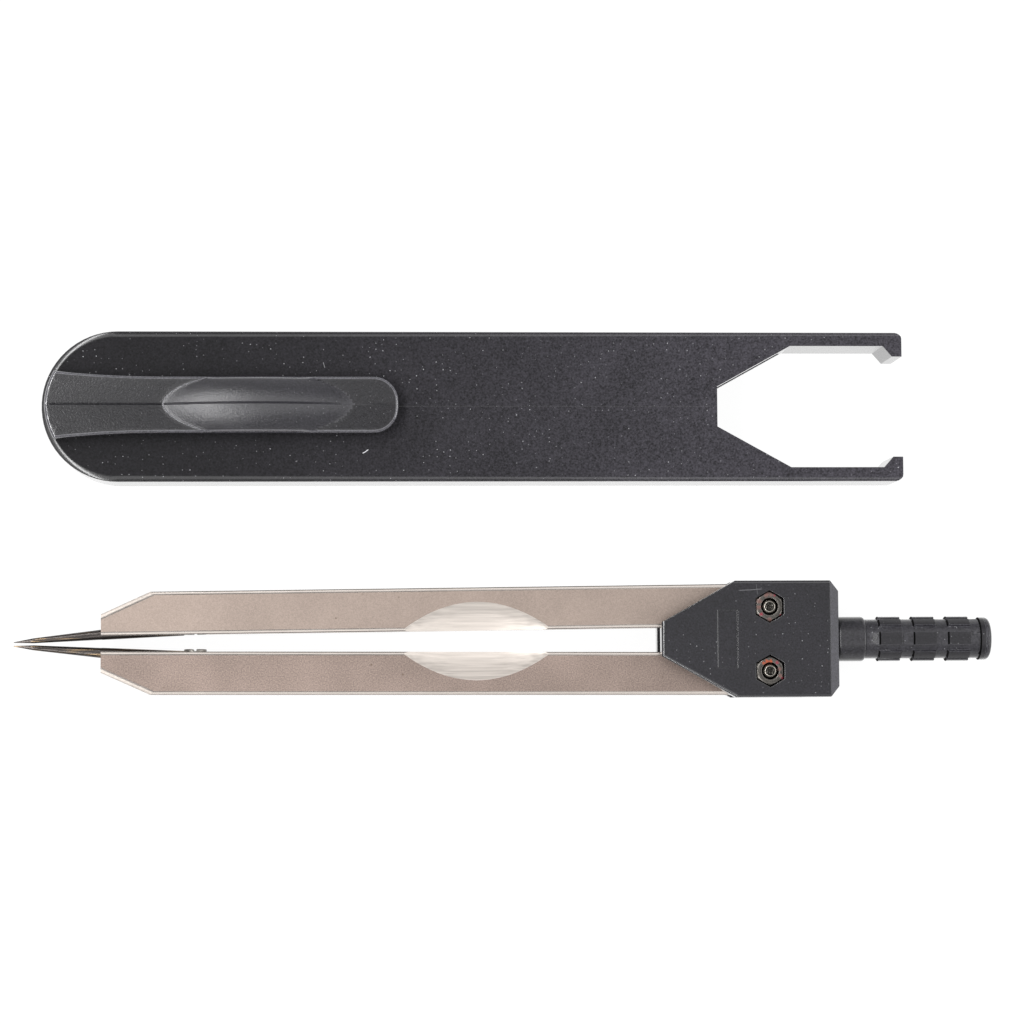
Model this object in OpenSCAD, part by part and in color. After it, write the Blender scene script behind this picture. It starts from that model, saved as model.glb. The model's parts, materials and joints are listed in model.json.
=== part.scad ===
// Dividers with two geared legs on a two-pivot head, and the push-fit sheath that lies beside them.
// Millimetres. The origin is midway between the pivots on the face that the head lies on.
// +X points along the handle, +Y towards the sheath, +Z up from that face.

/* [Head] */
// Length of the head from its nose to its rear face
head_len = 27; // [25:0.5:30]
// Width across the head
head_w = 17.6; // [17.2:0.2:20]
// Width of the flat nose
nose_w = 5.2; // [4:0.2:7]
// Length of the tapered nose
nose_len = 11.2; // [9:0.2:13]
// Distance from the pivots back to the rear face
head_tail = 10.6; // [9.8:0.2:12]
// Thickness of each half shell over the legs
shell_t = 2.3; // [2:0.1:3]
// Length of the cut at each rear corner
rear_cut_len = 1.4; // [1:0.1:2]
// Width of the cut at each rear corner
rear_cut_w = 1.6; // [1:0.1:2]
// Run of the bevel along the rear edge of each face
bevel_run = 1.4; // [0.6:0.1:1.6]
// Drop of that bevel
bevel_drop = 0.8; // [0.4:0.1:1.2]
// Length of the shallow panel on the front face
panel_len = 3; // [2:0.1:4]
// Width of that panel across the head
panel_w = 8.7; // [6:0.1:10]
// Depth of that panel
panel_depth = 0.2; // [0.1:0.05:0.4]
// Distance from the pivots forward to the middle of the panel
panel_at = 6.4; // [5.5:0.1:7.5]

/* [Pivots and gearing] */
// Distance between the two pivot axes
pivot_gap = 9.7; // [9:0.1:10.4]
// Diameter of each pivot bolt
bolt_d = 2; // [1.6:0.1:2.4]
// Diameter of the bolt head
bolt_head_d = 3.8; // [3.4:0.1:4.4]
// Height of the bolt head
bolt_head_t = 1.2; // [0.9:0.1:1.4]
// Width of the screwdriver slot in the bolt head
bolt_slot_w = 0.5; // [0.4:0.1:0.7]
// Depth of that slot
bolt_slot_depth = 0.5; // [0.3:0.1:0.7]
// Length of the chamfer on the bolt end
bolt_chamfer = 0.25; // [0.1:0.05:0.4]
// Width of each nut across its flats
nut_af = 4; // [3.5:0.1:4.5]
// Height of each nut
nut_t = 1.2; // [0.9:0.1:1.4]
// Depth of the turned chamfer on the nut corners
nut_chamfer = 0.25; // [0.1:0.05:0.4]
// How far the nuts and bolt heads lie below the faces
sunk = 0.2; // [0.1:0.05:0.3]
// How far each bolt end stands above its nut
bolt_proud = 0.15; // [0.05:0.05:0.2]
// Diameter of the friction washers
washer_d = 6; // [5:0.1:6.4]
// Thickness of the friction washers
washer_t = 0.25; // [0.2:0.05:0.4]
// Teeth on a full gear of the legs' size
gear_teeth = 20; // [18:2:24]
// Pressure angle of the teeth
pressure_angle = 20; // [20:0.5:25]
// Play between the teeth along the pitch circle
backlash = 0.1; // [0.06:0.01:0.16]
// How far each leg swings out
swing = 35; // [20:1:40]

/* [Handle] */
// Diameter of the steel stem
stem_d = 3; // [2.5:0.1:3.6]
// Diameter of the flange that the shells hold
flange_d = 5.6; // [4.6:0.1:6]
// Thickness of that flange
flange_t = 1.4; // [1:0.1:1.8]
// Shell left between the flange and the rear face
flange_cover = 2; // [1.5:0.1:2.2]
// Diameter of the smooth collar
collar_d = 6.8; // [6.2:0.05:7.4]
// Length of the collar
collar_len = 4.4; // [3:0.1:5]
// Rounding of the collar's outer edge
collar_round = 0.5; // [0.2:0.1:0.8]
// Diameter of the grip between its pads
grip_d = 6; // [5.6:0.1:6.4]
// Length of the grip behind the collar
grip_len = 19.2; // [18:0.2:22]
// Diameter over the raised pads
pad_d = 6.8; // [6.7:0.1:7.4]
// Length of each pad
pad_len = 3.3; // [2.6:0.1:3.8]
// Width of the pads on the front, the back and the two sides
pad_w = 1.9; // [1.4:0.1:2.2]
// Width of the narrower pads between those
slant_pad_w = 1.4; // [1:0.1:1.6]
// Angle from the front pad, or the back pad, to the narrower pads beside it
slant_pad_turn = 49; // [42:1:50]
// Distance from one row of pads to the next
pad_pitch = 5.25; // [4.6:0.05:5.4]
// Distance from the collar to the first row of pads
pad_start = 2.1; // [1.2:0.1:2.4]
// Rows of pads
pad_rows = 3; // [1:1:3]
// Diameter of the lip at the end of the grip
lip_d = 6.5; // [6.5:0.1:7.2]
// Length of the lip
lip_len = 1.6; // [1.6:0.05:2.2]
// Length of the lip's rim before its groove
lip_rim = 0.65; // [0.4:0.05:0.65]
// Width of the groove in the lip
lip_groove_w = 0.2; // [0.1:0.05:0.2]
// Depth of that groove
lip_groove_depth = 0.15; // [0.05:0.05:0.3]
// Rounding of the end of the lip
lip_round = 0.75; // [0.4:0.05:0.75]
// Length of the stem inside the grip
stem_in_grip = 15; // [10:0.5:16]

/* [Legs] */
// Length of each leg from its pivot to its front face
leg_len = 100.5; // [85:0.1:115]
// Width of each leg
leg_w = 6.5; // [6:0.1:7]
// Thickness of each leg
leg_t = 3.6; // [3.5:0.1:4.2]
// How far each leg's centre line lies outside its pivot
leg_offset = 0.35; // [0.2:0.05:0.5]
// How far the eased long edges reach in
leg_edge_run = 0.55; // [0.3:0.05:0.7]
// How far the eased edges drop
leg_edge_drop = 0.25; // [0.15:0.05:0.5]
// Diameter of the round hub behind the pivot
hub_d = 7; // [6.4:0.1:7]
// Length of the slanted cut on the outer front corner
tip_cut_len = 7.4; // [5:0.1:9]
// Width of that cut
tip_cut_w = 3.3; // [2.4:0.1:3.6]
// How far the eased edge along that cut reaches in
tip_edge_run = 0.75; // [0.4:0.05:0.9]
// Distance from the pivot to the middle of the finger hollow
hollow_at = 44.2; // [35:0.1:60]
// How far the finger hollow reaches in from the inner edge
hollow_w = 4.3; // [3:0.1:5]
// Depth of the finger hollow at the inner edge
hollow_depth = 1; // [0.5:0.02:1.2]
// Radius of the wheel that grinds the hollow
wheel_r = 68; // [50:1:100]

/* [Needles] */
// Diameter of the needle shank
needle_d = 1.6; // [1.4:0.05:1.8]
// Length of needle in front of the leg
needle_reach = 13.2; // [10:0.1:16]
// Length of the short steep point
point_len = 3; // [2:0.1:4]
// Diameter where that point starts
point_d = 0.77; // [0.5:0.01:0.9]
// Diameter of the very tip
tip_d = 0.1; // [0.05:0.01:0.2]
// Distance of the shank's axis inside the leg's inner edge, at the front face
needle_inset = 0.2; // [0.1:0.05:0.4]
// Angle of the shank to the leg
needle_tilt = 2.2; // [2:0.1:3]
// Length of shank inside the leg
needle_in = 12.6; // [12.4:0.1:12.8]
// Gap between the two points at rest
point_gap = 0.55; // [0.3:0.05:2]
// Distance from the centre line to the middle of that gap
point_lean = 0.28; // [0:0.02:1]
// Distance from the front face to the clamp screw
screw_back = 14; // [13.8:0.1:14.6]
// Diameter of the clamp screw's head
screw_head_d = 3.4; // [3:0.1:3.5]
// How far the upper screw's head stands out of its leg
upper_screw_proud = 0; // [0:0.01:0.5]
// How far the lower screw's head stands out of its leg
lower_screw_proud = 0.37; // [0:0.01:0.5]
// How far that head is let into the leg
screw_sunk = 0.2; // [0.15:0.05:0.4]
// Diameter of the screw's shank
screw_d = 2; // [1.6:0.1:2.2]
// Length of the screw's shank
screw_len = 4; // [3:0.1:4.6]
// Width of the slot in the screw's head
screw_slot_w = 0.5; // [0.4:0.1:0.7]
// Depth of that slot
screw_slot_depth = 0.3; // [0.2:0.05:0.4]

/* [Sheath] */
// Thickness of the snap arms
arm_t = 2.1; // [1.6:0.05:2.6]
// Thickness of the walls above and below the legs
sheath_wall = 2.2; // [1.6:0.1:2.6]
// Thickness of the closed end
end_wall = 3; // [2:0.1:4]
// Rounding of the sheath's edges
sheath_round = 0.6; // [0.3:0.1:0.9]
// How far the hooks reach in over the head's corners
hook_reach = 1.6; // [1:0.1:1.8]
// Length of the flat end of each hook
hook_land = 1.5; // [0.8:0.1:1.8]
// Rounding of the arms' outer corners
arm_round = 1; // [0.4:0.1:1.4]
// Distance along X from the sheathed place to the place where it lies
lay_x = 8.9; // [0:0.1:20]
// Distance along Y from the dividers to the sheath
lay_y = 35.2; // [34:0.1:60]

/* [Pocket clip] */
// Length of the clip
clip_len = 52.6; // [46:0.2:60]
// Width of the clip
clip_w = 8.5; // [7.5:0.1:9]
// Width of the clip at its root
clip_root_w = 10.6; // [9.2:0.1:12]
// Length over which the root narrows
clip_flare_len = 18; // [12:0.5:24]
// Length of the solid root
clip_root_len = 6; // [4:0.5:9]
// Distance of the root inside the sheath's end
clip_inset = 0.75; // [0.7:0.05:1.5]
// Gap under the clip
clip_gap = 1; // [0.9:0.1:1.6]
// Thickness of the clip at its edges
clip_t = 1.4; // [1:0.1:1.8]
// Rounding of the free end's corners
clip_end_r = 3.7; // [2:0.1:3.7]
// Height of the root's ridge above the edges
ridge_h = 1.1; // [0.6:0.1:1.6]
// Height of the free end's lower ridge above the edges
free_ridge_h = 0.45; // [0.2:0.05:0.8]
// Height of the crowned pad above the sheath
crown_h = 5.2; // [4.6:0.1:5.4]
// Radius of the crowned pad across the clip
crown_r = 5.2; // [4.9:0.1:6]
// Distance from the closed end to the top of the crown
crown_at = 32.5; // [28:0.5:36]
// Radius of the crown lengthwise, towards the root
crown_root_r = 61; // [52:1:90]
// Radius of the crown lengthwise, towards the free end
crown_free_r = 43; // [36:0.2:56]
// Radius of the nib under the free end
nib_r = 0.8; // [0.5:0.1:0.8]
// Distance from the free end to that nib
nib_back = 4; // [3:0.5:8]

/* [Clearances] */
// Radial play between the leg bores and the pivot bolts
pivot_play = 0.05; // [0.02:0.01:0.08]
// Play between the legs and the friction washers
leg_play = 0.05; // [0.03:0.01:0.1]
// Radial fit of the fixed round pieces
fit = 0.02; // [0.01:0.01:0.04]
// Gap round each nut in its pocket
nut_gap = 0.13; // [0.05:0.01:0.2]
// Gap round each bolt head
bolt_head_gap = 0.2; // [0.1:0.05:0.3]
// Gap between the gear teeth and the web behind them
web_gap = 0.6; // [0.3:0.1:0.8]
// Gap between the head and the sheath's arms
arm_gap = 0.45; // [0.2:0.05:0.8]
// Gap between the seated head and the sheath, lengthwise
seat_gap = 0.1; // [0.05:0.05:0.3]
// Gap round the legs inside the sheath
leg_room = 0.4; // [0.2:0.05:0.8]
// Gap in front of the points inside the sheath
point_room = 1.5; // [0.8:0.1:2]

/* [Hidden] */
$fn = 64;
arc_steps = 4;
crown_fn = 720;
cut = 1;
needle_lap = 0.5;
needle_step = 0.03;
nut_sides = 6;
half_side = 180 / nut_sides;

// Head stack, from the face it lies on upwards
head_t = 2 * (shell_t + washer_t + leg_play) + leg_t;
head_mid = head_t / 2;
nose_x = head_tail - head_len;
pivot_r = pivot_gap / 2;
bolt_hole_d = bolt_d + 2 * fit;
pocket_depth = nut_t + sunk;
counterbore_depth = bolt_head_t + sunk;
rear_washer_z = shell_t;
front_washer_z = head_t - shell_t - washer_t;
nut_z = head_t - sunk - nut_t;
bolt_top = head_t - sunk + bolt_proud;

// Gearing: each leg ends in a sector that rolls on the other leg's sector, tooth against gap
tooth_step = 360 / gear_teeth;
gear_module = pivot_gap / gear_teeth;
tooth_top = 0.9 * gear_module;
tooth_foot = 1.15 * gear_module;
gear_tip_r = pivot_r + tooth_top;
gear_root_r = pivot_r - tooth_foot;
gear_base_r = pivot_r * cos(pressure_angle);
tooth_half = tooth_step / 4 - backlash / 4 / pivot_r * 180 / PI;
mesh_angle = -90;
first_tooth = -1;
last_tooth = ceil(swing / tooth_step) + 1;
upper_phase = 0.5;
lower_phase = 0;
web_x = gear_tip_r + web_gap;

// Handle, from the rear face of the head
flange_x = head_tail - flange_cover - flange_t;
collar_x = head_tail;
grip_x = collar_x + collar_len;
stem_end = grip_x + stem_in_grip;
pad_turns = [0, slant_pad_turn, 90, 180 - slant_pad_turn];
lip_at = grip_len - lip_len;

// Legs, in a frame with the pivot at the origin and the inner edge towards -Y
leg_in = leg_offset - leg_w / 2;
leg_out = leg_offset + leg_w / 2;
tip_cut_angle = atan(tip_cut_w / tip_cut_len);
hollow_angle = atan(hollow_depth / hollow_w);
needle_y = leg_in + needle_inset;
taper_len = needle_reach - point_len;
taper_angle = atan((needle_d - 2 * needle_step - point_d) / 2 / taper_len);
point_angle = needle_tilt + taper_angle;
screw_x = screw_back - leg_len;

// Angle of each leg at rest, which brings its point to its place beside the centre line
point_x = leg_len + needle_reach * cos(point_angle);
point_y = needle_reach * sin(point_angle) - needle_y;
point_arm = norm([point_x, point_y]);
function rest_angle(side) =
    asin((pivot_r + side * point_lean - point_gap / 2) / point_arm) - atan2(point_y, point_x);

// Sheath, in the frame of the dividers that it covers, with its lower face at z = 0
sheath_w = head_w + 2 * (arm_gap + arm_t);
cavity_t = leg_t + 2 * leg_room;
sheath_t = cavity_t + 2 * sheath_wall;
cavity_y = pivot_r + leg_out + leg_room;
cavity_end = -point_x - point_room;
sheath_end = cavity_end - end_wall;
round_x = sheath_end + sheath_w / 2;
floor_x = nose_x - seat_gap;
hook_y = head_w / 2 + arm_gap - hook_reach;
hook_slope = rear_cut_len / rear_cut_w;
hook_start = head_tail - rear_cut_len + seat_gap - arm_gap * hook_slope;
hook_end = hook_start + hook_reach * hook_slope;
sheath_mouth = hook_end + hook_land;

// Pocket clip, on the upper face of the sheath
clip_top = clip_gap + clip_t;
clip_start = sheath_end + clip_inset;
clip_end = clip_start + clip_len;
crown_x = sheath_end + crown_at;
crown_back = sqrt(pow(crown_root_r, 2) - pow(crown_root_r - crown_h + clip_top, 2));
crown_front = sqrt(pow(crown_free_r, 2) - pow(crown_free_r - crown_h + clip_gap, 2));

// Outlines

function both_sides(half) =
    concat(half, [for (i = [len(half) - 1 : -1 : 0]) [half[i].x, -half[i].y]]);

function oval_arc(centre, half, from, to, steps = arc_steps) =
    [for (i = [0 : steps]) let (a = from + (to - from) * i / steps)
        centre + [half.x * cos(a), half.y * sin(a)]];

function arc(centre, r, from, to, steps = arc_steps) = oval_arc(centre, [r, r], from, to, steps);

function eased_box(w, h, edge) = concat(
    oval_arc([w / 2 - edge.x, h / 2 - edge.y], edge, 0, 90),
    oval_arc([edge.x - w / 2, h / 2 - edge.y], edge, 90, 180),
    oval_arc([edge.x - w / 2, edge.y - h / 2], edge, 180, 270),
    oval_arc([w / 2 - edge.x, edge.y - h / 2], edge, 270, 360));

function rounded_half(w, h, r) = concat(
    [[0, -h / 2]],
    arc([w / 2 - r, r - h / 2], r, -90, 0),
    arc([w / 2 - r, h / 2 - r], r, 0, 90),
    [[0, h / 2]]);

head_points = both_sides([
    [nose_x, nose_w / 2],
    [nose_x + nose_len, head_w / 2],
    [head_tail - rear_cut_len, head_w / 2],
    [head_tail, head_w / 2 - rear_cut_w]]);

web_points = both_sides([
    [web_x, head_w / 2],
    [head_tail - rear_cut_len, head_w / 2],
    [head_tail, head_w / 2 - rear_cut_w]]);

notch_points = both_sides([
    [floor_x, nose_w / 2 + arm_gap],
    [floor_x + nose_len, head_w / 2 + arm_gap],
    [hook_start, head_w / 2 + arm_gap],
    [hook_end, hook_y],
    [sheath_mouth + cut, hook_y]]);

cavity_points = both_sides([
    [cavity_end, point_y],
    [-leg_len - leg_room, cavity_y],
    [floor_x + nose_len, cavity_y]]);

clip_points = both_sides(concat(
    [for (i = [0 : arc_steps]) let (t = i / arc_steps)
        [sheath_end + t * clip_flare_len, (clip_w + (clip_root_w - clip_w) * pow(1 - t, 2)) / 2]],
    arc([clip_end - clip_end_r, clip_w / 2 - clip_end_r], clip_end_r, 90, 0, 2 * arc_steps)));

// Involute teeth

function involute(r) = let (a = acos(gear_base_r / r)) tan(a) * 180 / PI - a;
function flank_half(r) = tooth_half + involute(pivot_r) - involute(r);
function polar(r, a) = r * [cos(a), sin(a)];

function tooth(angle) = let (radii = [for (i = [0 : arc_steps])
        gear_base_r + (gear_tip_r - gear_base_r) * i / arc_steps]) concat(
    [polar(gear_root_r, angle - flank_half(gear_base_r))],
    [for (r = radii) polar(r, angle - flank_half(r))],
    [for (i = [arc_steps : -1 : 0]) polar(radii[i], angle + flank_half(radii[i]))],
    [polar(gear_root_r, angle + flank_half(gear_base_r))]);

function tooth_angle(i, phase) = mesh_angle + (i + phase) * tooth_step;

function sector_points(phase) = concat(
    [[0, 0], polar(gear_root_r, tooth_angle(first_tooth, phase) - tooth_step / 2)],
    [for (i = [first_tooth : last_tooth], p = tooth(tooth_angle(i, phase))) p],
    [polar(gear_root_r, tooth_angle(last_tooth, phase) + tooth_step / 2)]);

// Helpers

module along_x(x) {
    translate([x, 0, 0]) rotate([0, 90, 0]) children();
}

module at_pivots() {
    for (side = [-1, 1]) translate([0, side * pivot_r, 0]) children();
}

module upper_side() {
    translate([0, pivot_r, head_mid]) rotate([0, 0, rest_angle(1)]) children();
}

module lower_side() {
    translate([0, -pivot_r, head_mid]) mirror([0, 1, 0]) rotate([0, 0, rest_angle(-1)]) children();
}

module laid() {
    translate([lay_x, lay_y, 0]) children();
}

// Head

module half_shell() {
    difference() {
        union() {
            linear_extrude(shell_t) polygon(head_points);
            linear_extrude(head_mid) polygon(web_points);
        }
        rotate([90, 0, 0]) linear_extrude(2 * head_w, center = true)
            polygon([[head_tail - bevel_run, 0], [head_tail, bevel_drop],
                [head_tail + cut, bevel_drop], [head_tail + cut, -cut], [head_tail - bevel_run, -cut]]);
        at_pivots() translate([0, 0, -cut]) cylinder(d = bolt_hole_d, h = head_mid + cut);
        translate([0, 0, head_mid]) {
            along_x(flange_x - fit) cylinder(d = flange_d + 2 * fit, h = flange_t + 2 * fit);
            along_x(flange_x) cylinder(d = stem_d + 2 * fit, h = flange_t + flange_cover + cut);
        }
    }
}

module nut_blank(af, h) {
    rotate([0, 0, half_side]) cylinder(d = af / cos(half_side), h = h, $fn = nut_sides);
}

module front_shell() {
    color("#2b2a2d") difference() {
        translate([0, 0, head_t]) rotate([180, 0, 0]) half_shell();
        at_pivots() translate([0, 0, head_t - pocket_depth])
            nut_blank(nut_af + 2 * nut_gap, pocket_depth + cut);
        translate([-panel_at - panel_len / 2, -panel_w / 2, head_t - panel_depth])
            cube([panel_len, panel_w, panel_depth + cut]);
    }
}

module rear_shell() {
    color("#2b2a2d") difference() {
        half_shell();
        at_pivots() translate([0, 0, -cut])
            cylinder(d = bolt_head_d + 2 * bolt_head_gap, h = counterbore_depth + cut);
    }
}

// Pivots

module pivot_bolt(side) {
    color("#a9a7a2") translate([0, side * pivot_r, 0]) difference() {
        union() {
            translate([0, 0, sunk]) cylinder(d = bolt_head_d, h = bolt_head_t);
            translate([0, 0, sunk]) cylinder(d = bolt_d, h = bolt_top - bolt_chamfer - sunk);
            translate([0, 0, bolt_top - bolt_chamfer])
                cylinder(d1 = bolt_d, d2 = bolt_d - 2 * bolt_chamfer, h = bolt_chamfer);
        }
        translate([-bolt_head_d, -bolt_slot_w / 2, sunk - cut])
            cube([2 * bolt_head_d, bolt_slot_w, bolt_slot_depth + cut]);
    }
}

module pivot_nut(side) {
    corner_d = nut_af / cos(half_side);
    color("#b5b1a8") translate([0, side * pivot_r, nut_z]) difference() {
        intersection() {
            nut_blank(nut_af, nut_t);
            union() {
                cylinder(d = corner_d + cut, h = nut_t - nut_chamfer);
                translate([0, 0, nut_t - nut_chamfer])
                    cylinder(d1 = corner_d, d2 = nut_af - nut_chamfer, h = nut_chamfer);
            }
        }
        translate([0, 0, -cut]) cylinder(d = bolt_hole_d, h = nut_t + 2 * cut);
    }
}

module friction_washer(side, z) {
    color("#8d7a55") translate([0, side * pivot_r, z]) difference() {
        cylinder(d = washer_d, h = washer_t);
        translate([0, 0, -cut]) cylinder(d = bolt_hole_d, h = washer_t + 2 * cut);
    }
}

// Handle

module handle_stem() {
    color("#8f8f90") translate([0, 0, head_mid]) union() {
        along_x(flange_x) cylinder(d = flange_d, h = flange_t);
        along_x(flange_x) cylinder(d = stem_d, h = stem_end - flange_x);
    }
}

module handle_collar() {
    color("#2f2e31") translate([0, 0, head_mid]) difference() {
        along_x(collar_x) rotate_extrude() polygon(concat(
            [[0, 0], [collar_d / 2, 0]],
            arc([collar_d / 2 - collar_round, collar_len - collar_round], collar_round, 0, 90),
            [[0, collar_len]]));
        along_x(collar_x - cut) cylinder(d = stem_d + 2 * fit, h = collar_len + 2 * cut);
    }
}

module handle_grip() {
    color("#343336") translate([0, 0, head_mid]) difference() {
        union() {
            along_x(grip_x) rotate_extrude() polygon(concat(
                [[0, 0], [grip_d / 2, 0], [grip_d / 2, lip_at], [lip_d / 2, lip_at],
                    [lip_d / 2, lip_at + lip_rim],
                    [lip_d / 2 - lip_groove_depth, lip_at + lip_rim + lip_groove_w / 2],
                    [lip_d / 2, lip_at + lip_rim + lip_groove_w]],
                arc([lip_d / 2 - lip_round, grip_len - lip_round], lip_round, 0, 90),
                [[0, grip_len]]));
            for (row = [0 : pad_rows - 1]) pad_row(grip_x + pad_start + row * pad_pitch);
        }
        along_x(grip_x - cut) cylinder(d = stem_d + 2 * fit, h = stem_in_grip + fit + cut);
    }
}

module pad_row(x) {
    intersection() {
        along_x(x) cylinder(d = pad_d, h = pad_len);
        for (turn = pad_turns) rotate([turn, 0, 0]) pad_pair(x, turn % 90 == 0 ? pad_w : slant_pad_w);
    }
}

module pad_pair(x, w) {
    translate([x, -w / 2, -pad_d]) cube([pad_len, w, 2 * pad_d]);
}

// Legs

module eased_bar(len, w, run) {
    rotate([90, 0, 90]) linear_extrude(len) polygon(eased_box(w, leg_t, [run, leg_edge_drop]));
}

module leg_bar() {
    translate([-leg_len, leg_offset, 0]) eased_bar(leg_len, leg_w, leg_edge_run);
}

module tip_cut_bar() {
    translate([tip_cut_len - leg_len, leg_out, 0]) rotate([0, 0, tip_cut_angle])
        translate([-leg_len, -leg_len, 0]) eased_bar(3 * leg_len, 2 * leg_len, tip_edge_run);
}

module finger_hollow() {
    translate([-hollow_at, leg_in + hollow_w, leg_t / 2]) rotate([hollow_angle, 0, 0])
        translate([0, 0, wheel_r]) rotate([90, 0, 0]) cylinder(r = wheel_r, h = 4 * leg_w, center = true);
}

module needle_bore() {
    translate([-leg_len, needle_y, 0]) rotate([0, 0, needle_tilt])
        along_x(-needle_d) cylinder(d = needle_d + 2 * fit, h = needle_in + needle_d + fit);
}

module screw_seat() {
    translate([screw_x, leg_in - screw_head_d, 0]) rotate([-90, 0, 0])
        cylinder(d = screw_head_d + 2 * fit, h = screw_sunk + screw_head_d);
}

module leg(tilt, phase) {
    color("#b3a69e") difference() {
        union() {
            intersection() {
                leg_bar();
                tip_cut_bar();
            }
            cylinder(d = hub_d, h = leg_t, center = true);
            rotate([0, 0, -tilt]) linear_extrude(leg_t, center = true) polygon(sector_points(phase));
        }
        cylinder(d = bolt_d + 2 * pivot_play, h = 2 * leg_t, center = true);
        finger_hollow();
        mirror([0, 0, 1]) finger_hollow();
        needle_bore();
        screw_seat();
        translate([screw_x, leg_in, 0]) rotate([-90, 0, 0])
            cylinder(d = screw_d + 2 * fit, h = screw_sunk + screw_len + fit);
    }
}

module needle() {
    color("#4a4744") difference() {
        translate([-leg_len, needle_y, 0]) union() {
            rotate([0, 0, needle_tilt]) along_x(0) cylinder(d = needle_d, h = needle_in);
            rotate([0, 0, point_angle]) rotate([0, -90, 0]) rotate_extrude() polygon([
                [0, -needle_lap], [needle_d / 2 - needle_step, -needle_lap],
                [needle_d / 2 - needle_step, 0], [point_d / 2, taper_len],
                [tip_d / 2, needle_reach], [0, needle_reach]]);
        }
        screw_seat();
    }
}

module needle_screw(proud) {
    color("#9c968d") translate([screw_x, leg_in, 0]) rotate([-90, 0, 0]) difference() {
        union() {
            translate([0, 0, -proud]) cylinder(d = screw_head_d, h = proud + screw_sunk);
            cylinder(d = screw_d, h = screw_sunk + screw_len);
        }
        translate([-screw_slot_w / 2, -screw_head_d, -proud - cut])
            cube([screw_slot_w, 2 * screw_head_d, screw_slot_depth + cut]);
    }
}

// Sheath

module sheath_blank() {
    translate([round_x, 0, sheath_t / 2]) {
        rotate([90, 0, 90]) linear_extrude(sheath_mouth - round_x)
            polygon(eased_box(sheath_w, sheath_t, [sheath_round, sheath_round]));
        rotate([0, 0, 90]) rotate_extrude(angle = 180)
            polygon(rounded_half(sheath_w, sheath_t, sheath_round));
    }
}

module sheath_plan() {
    translate([0, 0, -cut]) linear_extrude(sheath_t + 2 * cut) polygon(both_sides(concat(
        [[sheath_end - cut, sheath_w]],
        [[sheath_mouth - 2 * arm_round, sheath_w], [sheath_mouth - 2 * arm_round, sheath_w / 2]],
        arc([sheath_mouth - arm_round, sheath_w / 2 - arm_round], arm_round, 90, 0))));
}

module sheath_body() {
    color("#333236") laid() difference() {
        intersection() {
            sheath_blank();
            sheath_plan();
        }
        translate([0, 0, -cut]) linear_extrude(sheath_t + 2 * cut) polygon(notch_points);
        translate([0, 0, sheath_wall]) linear_extrude(cavity_t) polygon(cavity_points);
    }
}

module crown() {
    translate([crown_x, 0, crown_h - crown_r]) {
        rotate([0, -90, 0]) crown_half(crown_root_r, crown_back);
        rotate([0, 90, 0]) crown_half(crown_free_r, crown_front);
    }
}

module crown_half(r, len) {
    rotate_extrude() intersection() {
        translate([crown_r - r, 0]) circle(r, $fn = crown_fn);
        square([crown_r + cut, len]);
    }
}

module clip_plan(from, to) {
    translate([0, 0, from]) intersection() {
        linear_extrude(to - from) polygon(clip_points);
        union() {
            translate([round_x, 0, 0]) cylinder(d = sheath_w - 2 * clip_inset, h = to - from);
            translate([round_x, -clip_root_w / 2, 0]) cube([clip_len, clip_root_w, to - from]);
        }
    }
}

module clip_ridge(from, to, h) {
    translate([from, 0, clip_top]) rotate([90, 0, 90]) linear_extrude(to - from)
        polygon([[-clip_w / 2, 0], [clip_w / 2, 0], [0, h]]);
}

module pocket_clip() {
    color("#37363a") laid() translate([0, 0, sheath_t]) union() {
        intersection() {
            clip_plan(clip_gap, crown_h + cut);
            union() {
                translate([sheath_end, -clip_root_w, clip_gap])
                    cube([2 * clip_len, 2 * clip_root_w, clip_t]);
                clip_ridge(sheath_end, crown_x, ridge_h);
                clip_ridge(crown_x, clip_end, free_ridge_h);
                crown();
            }
        }
        intersection() {
            clip_plan(0, clip_gap);
            translate([sheath_end, -clip_root_w, 0]) cube([clip_root_len, 2 * clip_root_w, clip_gap]);
        }
        translate([clip_end - nib_back, 0, clip_gap]) rotate([90, 0, 0])
            cylinder(r = nib_r, h = clip_w - 2 * clip_t, center = true);
    }
}

front_shell();
rear_shell();
handle_stem();
handle_collar();
handle_grip();
upper_side() leg(rest_angle(1), upper_phase);  // upper_leg
lower_side() leg(rest_angle(-1), lower_phase);  // lower_leg
upper_side() needle();  // upper_needle
lower_side() needle();  // lower_needle
upper_side() needle_screw(upper_screw_proud);  // upper_needle_screw
lower_side() needle_screw(lower_screw_proud);  // lower_needle_screw
pivot_bolt(1);  // upper_pivot_bolt
pivot_bolt(-1);  // lower_pivot_bolt
pivot_nut(1);  // upper_pivot_nut
pivot_nut(-1);  // lower_pivot_nut
friction_washer(1, front_washer_z);  // upper_front_washer
friction_washer(1, rear_washer_z);  // upper_rear_washer
friction_washer(-1, front_washer_z);  // lower_front_washer
friction_washer(-1, rear_washer_z);  // lower_rear_washer
sheath_body();
pocket_clip();
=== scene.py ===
"""Finishes a pair of dividers and the sheath that lies beside them, on a white studio floor.

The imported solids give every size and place. Each of them is copied with its edges eased and gets the finish of
its real material, and small moulded details are added where the solids leave them out.
"""

import json
import math

import bmesh
import bpy
import numpy
from bpy.props import FloatProperty, FloatVectorProperty, PointerProperty
from mathutils import Matrix, Vector


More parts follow.
